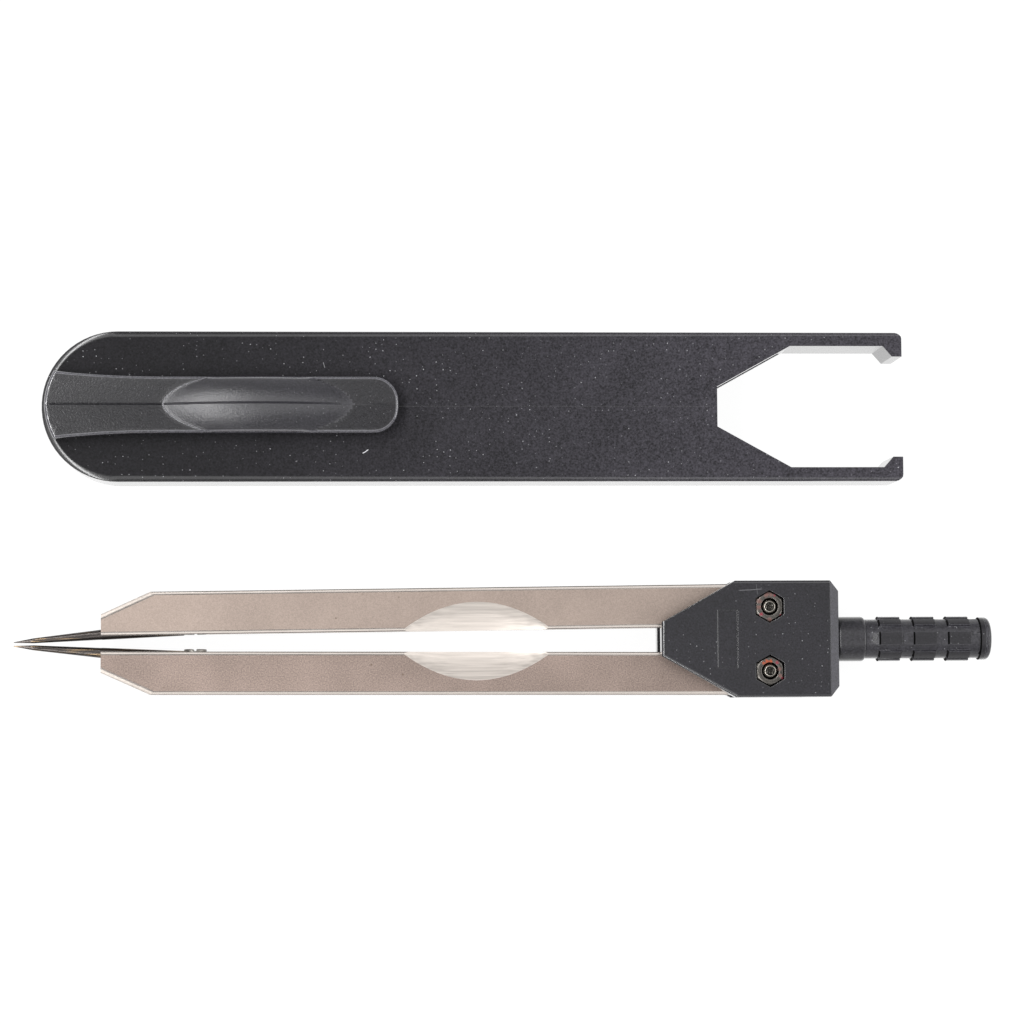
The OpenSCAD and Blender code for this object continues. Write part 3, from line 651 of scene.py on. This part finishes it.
def line_piece(name, points):
    """A piece that is only a line through some points, for a tree to grow along."""
    mesh = bpy.data.meshes.new(name)
    mesh.from_pydata([tuple(point) for point in points], [(at, at + 1) for at in range(len(points) - 1)], [])
    return new_object(name, mesh)


def node_tree(name, inputs):
    """A Geometry Nodes tree with named inputs and one finish, and the sockets of its input node."""
    tree = bpy.data.node_groups.new(name, "GeometryNodeTree")
    for label, kind in (("Geometry", "Geometry"), *inputs, ("Finish", "Material")):
        tree.interface.new_socket(label, in_out="INPUT", socket_type="NodeSocket" + kind)
    tree.interface.new_socket("Geometry", in_out="OUTPUT", socket_type="NodeSocketGeometry")
    return tree, add(tree, "NodeGroupInput").outputs


def end_tree(tree, given, grown):
    """Ends a tree: makes what has grown real and gives it the finish."""
    real = add(tree, "GeometryNodeRealizeInstances", {"Geometry": grown})
    done = add(tree, "GeometryNodeSetMaterial", {"Geometry": real, "Material": given["Finish"]})
    add(tree, "NodeGroupOutput", {"Geometry": done})
    return tree


def run_tree(piece, tree, inputs):
    """Runs a tree on a piece with its inputs set by their identifiers, and keeps the result as a plain mesh."""
    grown = piece.modifiers.new(tree.name, "NODES")
    grown.node_group = tree
    for socket in tree.interface.items_tree:
        if socket.in_out == "INPUT" and socket.name in inputs:
            grown[socket.identifier] = inputs[socket.name]
    return plain(piece)


def pivot_pair_tree():
    """One fastener set on each of the two pivots."""
    tree, given = node_tree("pivot_pair", [("Pivots", "Int"), ("Step", "Vector")])
    places = add(tree, "GeometryNodeMeshLine", {"Count": given["Pivots"], "Offset": given["Step"]})
    copies = add(tree, "GeometryNodeInstanceOnPoints", {"Points": places, "Instance": given["Geometry"]})
    return end_tree(tree, given, copies)


def moulded_line_tree():
    """A low rounded bead swept along a line of points, as a mould leaves where its parts meet."""
    tree, given = node_tree("moulded_line", [("Width", "Float"), ("Height", "Float")])
    path = add(tree, "GeometryNodeMeshToCurve", {"Mesh": given["Geometry"]})
    level = add(tree, "GeometryNodeSetCurveNormal", {"Curve": path}, mode="Z_UP")
    half = calc(tree, "MULTIPLY", given["Width"], 0.5)
    ring = add(tree, "GeometryNodeCurvePrimitiveCircle", {"Resolution": 12, "Radius": half})
    size = add(tree, "ShaderNodeCombineXYZ", {"X": 1.0, "Y": calc(tree, "DIVIDE", given["Height"], half), "Z": 1.0})
    low = add(tree, "GeometryNodeTransform", {"Geometry": ring, "Scale": size})
    swept = add(tree, "GeometryNodeCurveToMesh", {"Curve": level, "Profile Curve": low, "Fill Caps": True})
    return end_tree(tree, given, add(tree, "GeometryNodeSetShadeSmooth", {"Geometry": swept}))


class DIVIDERS_OT_head(bpy.types.Operator):
    """Finishes the two moulded shells of the head"""

    bl_idname = "dividers.head"
    bl_label = "Head shells"

    def execute(self, context):
        sizes, colours = values(context)
        scratches = (((-4.78, 7.27), (-0.98, 7.49), 0.07, 0.2), ((-2.03, 8.3), (-1.8, 6.6), 0.07, 0.1))
        satin = {"polish": (0.3, 0.6), "grain": 0.25, "grain_depth": 0.01, "dusty": 0.45, "contrast": 0.7}
        black = moulded_black(
            "satin_black_abs", colours.head_black, specular=0.36, roughness=0.5, marks=scratches, **satin)
        worn = moulded_black("polished_black_abs", colours.head_black, specular=0.36, grain=0.25)
        # Painted light: the rear bevel's paler black stands for the light that falls on it from the right, not for
        # rubbing.
        rubbed = moulded_black("lit_black_abs", colours.lit_bevel_black, specular=0.45, roughness=0.45, **satin)
        flat, edge, bevel = range(3)
        # Shares of the edge width for lines near the split between the shells or in recesses, and for slanted lines.
        near_split, lesser, least = 2.5 * MM, 0.25, 0.15
        for node in ("front_shell", "rear_shell"):
            shell = merged_copy(node)
            outside = outer_faces(shell)

            def eased(line):
                apart = abs(sum(point.co.z for point in line.verts) / 2 - UPPER_PIVOT.z)
                if apart < near_split or not all(face in outside for face in line.link_faces):
                    return lesser
                lift = [abs(face.normal.z) for face in line.link_faces]
                return 1.0 if max(lift) > LEVEL and min(lift) < 0.2 else least

            def face_finish(face):
                return bevel if face.normal.x > 0.4 and abs(face.normal.z) > 0.5 else flat

            piece = make_piece("head_" + node, shell, [black, worn, rubbed], sizes.shell_edge, 4, eased,
                               face_finish=face_finish, edge_finish=edge)
            settle(piece, "head", "head_plastic", node)
        return {"FINISHED"}


class DIVIDERS_OT_pivots(bpy.types.Operator):
    """Finishes the bolts, nuts and washers of the two pivots"""

    bl_idname = "dividers.pivots"
    bl_label = "Pivot fasteners"

    def execute(self, context):
        sizes, colours = values(context)
        dull, red, rust = colours.sealant_dull, colours.sealant_red, colours.rust
        # Smears as (X, Y, radius, colour) from the middle of each nut, in millimetres.
        upper = ((-1.55, 0.85, 0.5, dull), (-1.65, -0.1, 0.45, dull), (-0.45, 1.75, 0.5, dull),
                 (0.2, 1.85, 0.4, dull), (-1.2, -1.2, 0.35, red), (0.0, -1.95, 0.45, dull),
                 (0.82, 1.75, 0.28, red), (1.7, -1.3, 0.25, red))
        lower = ((-1.0, 1.15, 0.35, rust), (-0.45, 1.45, 0.35, rust), (0.1, 1.5, 0.35, rust),
                 (1.05, 1.25, 0.35, red), (1.4, 0.3, 0.35, dull), (1.55, -0.75, 0.35, dull), (1.85, -1.1, 0.3, red))
        patches = [(x + pivot.x / MM, y + pivot.y / MM, radius, tint)
                   for pivot, smears in ((UPPER_PIVOT, upper), (LOWER_PIVOT, lower))
                   for x, y, radius, tint in smears]
        plated = sealed_zinc("zinc_plated_steel_with_sealant", colours.nut_zinc, patches)
        turned = turned_zinc("turned_zinc_plated_steel", colours.zinc)
        fibre = pressed_fibre("pressed_fibre", colours.fibre)
        pair = pivot_pair_tree()
        step = tuple(LOWER_PIVOT - UPPER_PIVOT)
        for name, part, shell, finish, edge, slot in (
                ("pivot_nuts", "pivot_nut", self.nut(sizes), plated, sizes.steel_edge, "nut_steel"),
                ("pivot_bolts", "pivot_bolt", self.bolt(sizes), turned, sizes.steel_edge, "bolt_steel"),
                *((side + "_washers", side + "_washer", merged_copy("upper_" + side + "_washer"), fibre,
                   sizes.fibre_edge, "washer_fibre") for side in ("front", "rear"))):
            piece = make_piece(name, shell, [finish], edge)
            run_tree(piece, pair, {"Pivots": 2, "Step": step, "Finish": finish})
            settle(piece, "head", slot, "upper_" + part, "lower_" + part)
        return {"FINISHED"}

    def nut(self, sizes):
        """The upper nut with a countersunk hole and a rim that falls away."""
        rim_width, hole_within, at_top = 0.2 * MM, 1.2 * MM, 0.01 * MM
        nut = merged_copy("upper_pivot_nut")
        nut.normal_update()
        top = max(point.co.z for point in nut.verts)
        rims = [point for point in nut.verts if point.co.z > top - at_top]
        for point in rims:
            out = (point.co - UPPER_PIVOT).xy
            if out.length < hole_within:
                point.co.xy = UPPER_PIVOT.xy + out * (1 + sizes.countersink / out.length)
        level = [face for face in nut.faces if all(point in rims for point in face.verts)]
        bmesh.ops.inset_region(nut, faces=level, thickness=rim_width)
        for point in rims:
            point.co.z -= sizes.rim_fall
        return nut

    def bolt(self, sizes):
        """The upper bolt with a rim that falls away and a cup in its end."""
        rim_width, cup_slope = 0.14 * MM, 0.08 * MM
        bolt = merged_copy("upper_pivot_bolt")
        end = max(bolt.faces, key=lambda face: face.calc_center_median().z + face.normal.z * MM)
        rims = list(end.verts)
        bmesh.ops.inset_region(bolt, faces=[end], thickness=rim_width)
        for point in rims:
            point.co.z -= sizes.rim_fall
        bmesh.ops.inset_region(bolt, faces=[end], thickness=cup_slope)
        for point in end.verts:
            point.co.z -= sizes.bolt_cup
        return bolt


class DIVIDERS_OT_handle(bpy.types.Operator):
    """Finishes the handle's stem, collar and padded grip"""

    bl_idname = "dividers.handle"
    bl_label = "Handle"

    def execute(self, context):
        sizes, colours = values(context)
        drawn = lined_metal(
            "drawn_steel", colours.stem, across=0.1, along=3.0, contrast=0.15, roughness=0.35, depth=0.006)
        smooth = moulded_black("smooth_black_acetal", colours.collar_black, specular=0.45, roughness=0.36,
                               polish=(0.1, 0.5), grain=0.35, grain_depth=0.004, dusty=0.2)
        gripped = {"roughness": 0.4, "polish": (0.1, 0.5), "dusty": 0.4}
        textured = moulded_black("spark_textured_black_nylon", colours.grip_black, specular=0.5, grain_depth=0.08,
                                 contrast=0.8, **gripped)
        # Painted highlight: the pads' paler edges stand for the bright lines of light along them, not for wear.
        worn = moulded_black("highlight_black_nylon", colours.pad_edge_highlight, specular=0.5)
        smoother = moulded_black("rubbed_black_nylon", colours.pad_black, specular=0.4, grain_depth=0.05, **gripped)
        # Painted shade: the pads' walls that face the head get a near-black that stands for the shade on them.
        unlit = moulded_black(
            "shaded_black_nylon", colours.shaded_wall_black, specular=0.1, roughness=0.8, polish=UNPOLISHED)
        for name, finish, edge, steps, slot in (
                ("stem", drawn, sizes.steel_edge, 2, "stem_steel"),
                ("collar", smooth, sizes.collar_edge, 4, "collar_plastic")):
            node = "handle_" + name
            settle(make_piece(name, merged_copy(node), [finish], edge, steps), "head", slot, node)
        shell = merged_copy("handle_grip")
        edge, wall, pad = range(1, 4)
        lean_pads(shell, sizes.pad_lean, wall, pad)

        def eased(line):
            return 0.0 if any(face.material_index == wall for face in line.link_faces) else 1.0

        grip = make_piece("grip", shell, [textured, worn, unlit, smoother], sizes.grip_edge, eased=eased,
                          edge_finish=edge)
        settle(grip, "head", "grip_plastic", "handle_grip")
        return {"FINISHED"}


class DIVIDERS_OT_legs(bpy.types.Operator):
    """Finishes the two legs with blasted flats, polished edges and ground finger hollows"""

    bl_idname = "dividers.legs"
    bl_label = "Legs"

    def execute(self, context):
        sizes, colours = values(context)
        ground = lined_metal(
            "ground_nickel", colours.ground, across=0.28, along=14.0, contrast=0.12, roughness=0.34, depth=0.012)
        polished = lined_metal(
            "polished_nickel", colours.polished, across=0.2, along=6.0, contrast=0.06, roughness=0.22, depth=0.003)
        filed = lined_metal(
            "filed_nickel", colours.filed, across=0.12, along=0.5, contrast=0.2, roughness=0.62, depth=0.006)
        flat, hollow, edge, cut = range(4)
        hollow_from, hollow_to, cut_to = -57 * MM, -31 * MM, -91 * MM
        for node, body, inner, tint, grain, grain_depth, contrast in (
                ("upper_leg", "leg_upper", -1, colours.blasted, 0.17, 0.01, 0.25),
                # Painted shade: the lower leg's darker colour stands for the lesser light it gets; its coarser grain
                # is real.
                ("lower_leg", "leg_lower", 1, colours.coarse_and_shaded, 0.2, 0.025, 0.5)):
            blasted = blasted_nickel("blasted_nickel_" + node, tint, colours.pits, grain, grain_depth, contrast)

            def face_finish(face):
                lift, x = abs(face.normal.z), face.calc_center_median().x
                if lift > 0.999:
                    return flat
                if x < cut_to and abs(face.normal.x) > 0.05:
                    return cut
                ground_here = hollow_from < x < hollow_to
                return hollow if ground_here and lift > 0.9 and face.normal.y * inner > 0.1 else edge

            piece = make_piece(node + "_dressed", merged_copy(node), [blasted, ground, polished, filed],
                               sizes.leg_edge, least=35, face_finish=face_finish)
            settle(piece, body, "satin_nickel", node)
        return {"FINISHED"}


class DIVIDERS_OT_needles(bpy.types.Operator):
    """Finishes the needle points and their clamp screws"""

    bl_idname = "dividers.needles"
    bl_label = "Needles and screws"

    def execute(self, context):
        sizes, colours = values(context)
        steel = lined_metal("ground_hardened_steel", colours.needle, across=0.14, along=4.0, contrast=0.45,
                            roughness=0.28, depth=0.01, streaks=colours.temper)
        turned = lined_metal(
            "turned_steel", colours.nut_zinc, across=0.15, along=0.15, contrast=0.2, roughness=0.45, depth=0.006)
        for side in ("upper", "lower"):
            for name, part, finish, edge, slot in (
                    ("_point", "_needle", steel, 0.0, "needle_steel"),
                    ("_clamp_screw", "_needle_screw", turned, sizes.steel_edge, "screw_steel")):
                piece = make_piece(side + name, merged_copy(side + part), [finish], edge)
                settle(piece, "leg_" + side, slot, side + part)
        return {"FINISHED"}


class DIVIDERS_OT_sheath(bpy.types.Operator):
    """Finishes the sheath and its pocket clip, with the lines that their mould left on them"""

    bl_idname = "dividers.sheath"
    bl_label = "Sheath and clip"

    def execute(self, context):
        sizes, colours = values(context)
        lint = (((-61.31, 28.05), (-60.41, 28.66), 0.1, 1.0), ((-67.22, 41.89), (-66.92, 40.98), 0.06, 0.35))
        # Painted light: the sheath's black is painted paler towards its open end, where more light falls.
        dull = moulded_black("dull_black_abs", colours.sheath_black, specular=0.16, roughness=0.6,
                             polish=(0.975, 0.998), grain=0.28, grain_depth=0.03, dusty=0.6, contrast=0.8,
                             marks=lint, painted_light_along_x=(-100, 25, 4.6))
        touched = {"polish": (0.2, 0.5), "grain_depth": 0.06, "dusty": 0.2}
        satin = moulded_black("satin_black_abs_clip", colours.clip_black, specular=0.55, **touched)
        # Painted highlight: the crown's paler black stands for the sheen of light on it, not for rubbing; its higher
        # specular level is the real gloss.
        rubbed = moulded_black("lit_black_abs_clip", colours.crown_sheen_black, specular=0.85, roughness=0.32, **touched)
        # Painted highlight: this paler black on the clip's rounded rim and on the crown's bead stands for the bright
        # lines of light along them, not for wear.
        worn = moulded_black("highlight_black_abs_clip", colours.clip_rim_highlight, specular=0.6)
        shell = merged_copy("sheath_body")
        low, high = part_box("sheath_body")
        rim_depth, seam_end = 0.6 * MM, -7.7 * MM
        soften_rim(shell, low.z, high.z, rim_depth, sizes.rim_spread)
        sheath = make_piece("sheath", shell, [dull], sizes.sheath_edge)
        for point in sheath.data.vertices:
            point.co.z = min(max(point.co.z, low.z), high.z)
        settle(sheath, "sheath", "sheath_plastic", "sheath_body")

        shell = merged_copy("pocket_clip")
        top = ClipTop(shell, sizes)
        top.shape(shell)
        in_groove, shortest = 0.51 * sizes.groove_width, 0.1 * MM

        def crisp(line):
            return (all(abs(point.co.y - top.middle) < in_groove for point in line.verts)
                    and abs(line.verts[0].co.x - line.verts[1].co.x) > shortest
                    and min(face.normal.z for face in line.link_faces) > 0.4)

        clip = make_piece("clip", shell, [satin, worn, rubbed], crisp=crisp)
        settle(clip, "sheath", "sheath_plastic", "pocket_clip")

        swept = moulded_line_tree()
        path = [(top.high.x, top.middle, high.z), (seam_end, top.middle, high.z)]
        for name, points, width, height, finish in (
                # The bead's paler black is a painted highlight.
                ("crown_bead", top.outline(), sizes.bead_width, sizes.bead_height, worn),
                ("sheath_seam", path, sizes.seam_width, sizes.seam_height, dull)):
            line = run_tree(line_piece(name, points), swept, {"Width": width, "Height": height, "Finish": finish})
            settle(line, "sheath", "sheath_plastic")
        return {"FINISHED"}


class DIVIDERS_OT_stage(bpy.types.Operator):
    """Sets the floor, the white tent, the soft lamps and the camera"""

    bl_idname = "dividers.stage"
    bl_label = "Stage"

    def execute(self, context):
        scene = context.scene
        scene.view_settings.view_transform = "Standard"
        self.lay_floor(scene)
        self.raise_tent(scene)
        self.hang_lamps()
        self.set_camera(scene)
        return {"FINISHED"}

    def lay_floor(self, scene):
        """A plain white floor just under the object that keeps its soft shadow."""
        mesh = bpy.data.meshes.new("floor")
        far, under, strength, matt_share = 4.0, CAD_BOX[0].z - 0.02 * MM, 0.945, 0.09
        corners = ((-far, -far), (far, -far), (far, far), (-far, far))
        mesh.from_pydata([(*corner, under) for corner in corners], [], [(0, 1, 2, 3)])
        new_object("floor", mesh)
        material = bpy.data.materials.new("white_floor")
        tree = bare_tree(material)
        path = add(tree, "ShaderNodeLightPath").outputs
        seen = calc(tree, "ADD", path["Is Camera Ray"], path["Is Glossy Ray"])
        seen = calc(tree, "ADD", seen, path["Is Transmission Ray"], use_clamp=True)
        glow = calc(tree, "MULTIPLY", seen, strength)
        bright = add(tree, "ShaderNodeEmission", {"Color": rgba(scene.divider_colours.floor), "Strength": glow})
        matt = add(tree, "ShaderNodeBsdfDiffuse", {"Color": rgba([matt_share] * 3)})
        both = add(tree, "ShaderNodeAddShader", {0: bright, 1: matt})
        add(tree, "ShaderNodeOutputMaterial", {"Surface": both})
        mesh.materials.append(material)

    def raise_tent(self, scene):
        """A white tent. It is dim round the camera's hole overhead, bright halfway down, dim where its wall
        begins and plain white at the table's edge."""
        world = bpy.data.worlds.new("white_tent")
        tree = bare_tree(world)
        way = add(tree, "ShaderNodeTexCoord").outputs["Generated"]
        hole = Vector((-0.12, 0.05, 1)).normalized()
        height = add(tree, "ShaderNodeVectorMath", {0: way, 1: tuple(hole)}, operation="DOT_PRODUCT")
        level = add(tree, "ShaderNodeValToRGB", {"Fac": height.outputs["Value"]})
        # Stops as (angle from the hole in degrees, radiance).
        strongest = 1.2
        stops = ((90, 1.0), (86, 1.0), (83, 0.25), (54, 0.25), (44, strongest), (22, strongest), (17, 0.6),
                 (11, 0.2), (0, 0.15))
        ramp = level.color_ramp
        ramp.interpolation = "EASE"
        while len(ramp.elements) < len(stops):
            ramp.elements.new(0.5)
        for stop, (angle, radiance) in zip(ramp.elements, stops):
            stop.position = max(0.0, math.cos(math.radians(angle)))
            stop.color = rgba([radiance / strongest] * 3)
        light = add(tree, "ShaderNodeBackground", {"Color": level, "Strength": strongest})
        add(tree, "ShaderNodeOutputWorld", {"Surface": light})
        scene.world = world

    def hang_lamps(self):
        """Two lamps that stand at a place in millimetres, are long along Y and shine on the line X = middle."""
        middle = -40 * MM
        for name, place, size, radiance in (
                ("lamp_left", (-430, 70, 719), (2.4, 0.1), 13.0),
                ("lamp_right", (685, 18, 344), (0.8, 0.3), 4.0)):
            lamp = bpy.data.lights.new(name, "AREA")
            lamp.shape = "RECTANGLE"
            lamp.size, lamp.size_y = size
            lamp.energy = radiance * math.pi * size[0] * size[1]
            holder = new_object(name, lamp)
            holder.location = Vector(place) * MM
            holder.rotation_mode = "QUATERNION"
            ahead = Vector((middle - holder.location.x, 0, -holder.location.z))
            holder.rotation_quaternion = ahead.to_track_quat("-Z", "Y")
            holder.visible_camera = False

    def set_camera(self, scene):
        """The photograph's view: from nearly straight above, a little towards the points and the front leg."""
        eye = Vector((-61.493, -11.188, 420.0)) * MM
        target = Vector((-38.614, 19.528, 4.4)) * MM
        roll = -0.00566
        ahead = (target - eye).normalized()
        right = ahead.cross(Vector((0, 1, 0))).normalized()
        up = right.cross(ahead)
        turned = right * math.cos(roll) + up * math.sin(roll)
        raised = up * math.cos(roll) - right * math.sin(roll)
        camera = bpy.data.cameras.new("camera")
        camera.lens = 96.46
        camera.sensor_width = 36.0
        camera.clip_start, camera.clip_end = 0.01, 20.0
        scene.camera = new_object("camera", camera)
        facing = Matrix((turned, raised, -ahead)).transposed().to_4x4()
        scene.camera.matrix_world = Matrix.Translation(eye) @ facing


class DIVIDERS_PT_panel(bpy.types.Panel):
    """Lists the steps, sizes and colours of the dividers"""

    bl_idname = "DIVIDERS_PT_panel"
    bl_label = "Dividers and sheath"
    bl_space_type = "VIEW_3D"
    bl_region_type = "UI"
    bl_category = "Dividers"

    def draw(self, context):
        for operator in OPERATORS:
            self.layout.operator(operator.bl_idname)
        for group in values(context):
            box = self.layout.box()
            for name in group.bl_rna.properties.keys():
                if name not in ("rna_type", "name"):
                    box.prop(group, name)


OPERATORS = (DIVIDERS_OT_stage, DIVIDERS_OT_head, DIVIDERS_OT_pivots, DIVIDERS_OT_handle, DIVIDERS_OT_legs,
             DIVIDERS_OT_needles, DIVIDERS_OT_sheath)
CLASSES = (DividerSizes, DividerColours, *OPERATORS, DIVIDERS_PT_panel)


def register():
    """Makes the operators, the panel and its values known to Blender."""
    for made in CLASSES:
        bpy.utils.register_class(made)
    bpy.types.Scene.divider_sizes = PointerProperty(type=DividerSizes)
    bpy.types.Scene.divider_colours = PointerProperty(type=DividerColours)


def unregister():
    """Takes back what register did."""
    del bpy.types.Scene.divider_colours
    del bpy.types.Scene.divider_sizes
    for made in reversed(CLASSES):
        bpy.utils.unregister_class(made)


def main():
    """Runs every step."""
    register()
    bpy.ops.dividers.stage()
    bpy.ops.dividers.head()
    bpy.ops.dividers.pivots()
    bpy.ops.dividers.handle()
    bpy.ops.dividers.legs()
    bpy.ops.dividers.needles()
    bpy.ops.dividers.sheath()


if __name__ == "__main__":
    main()
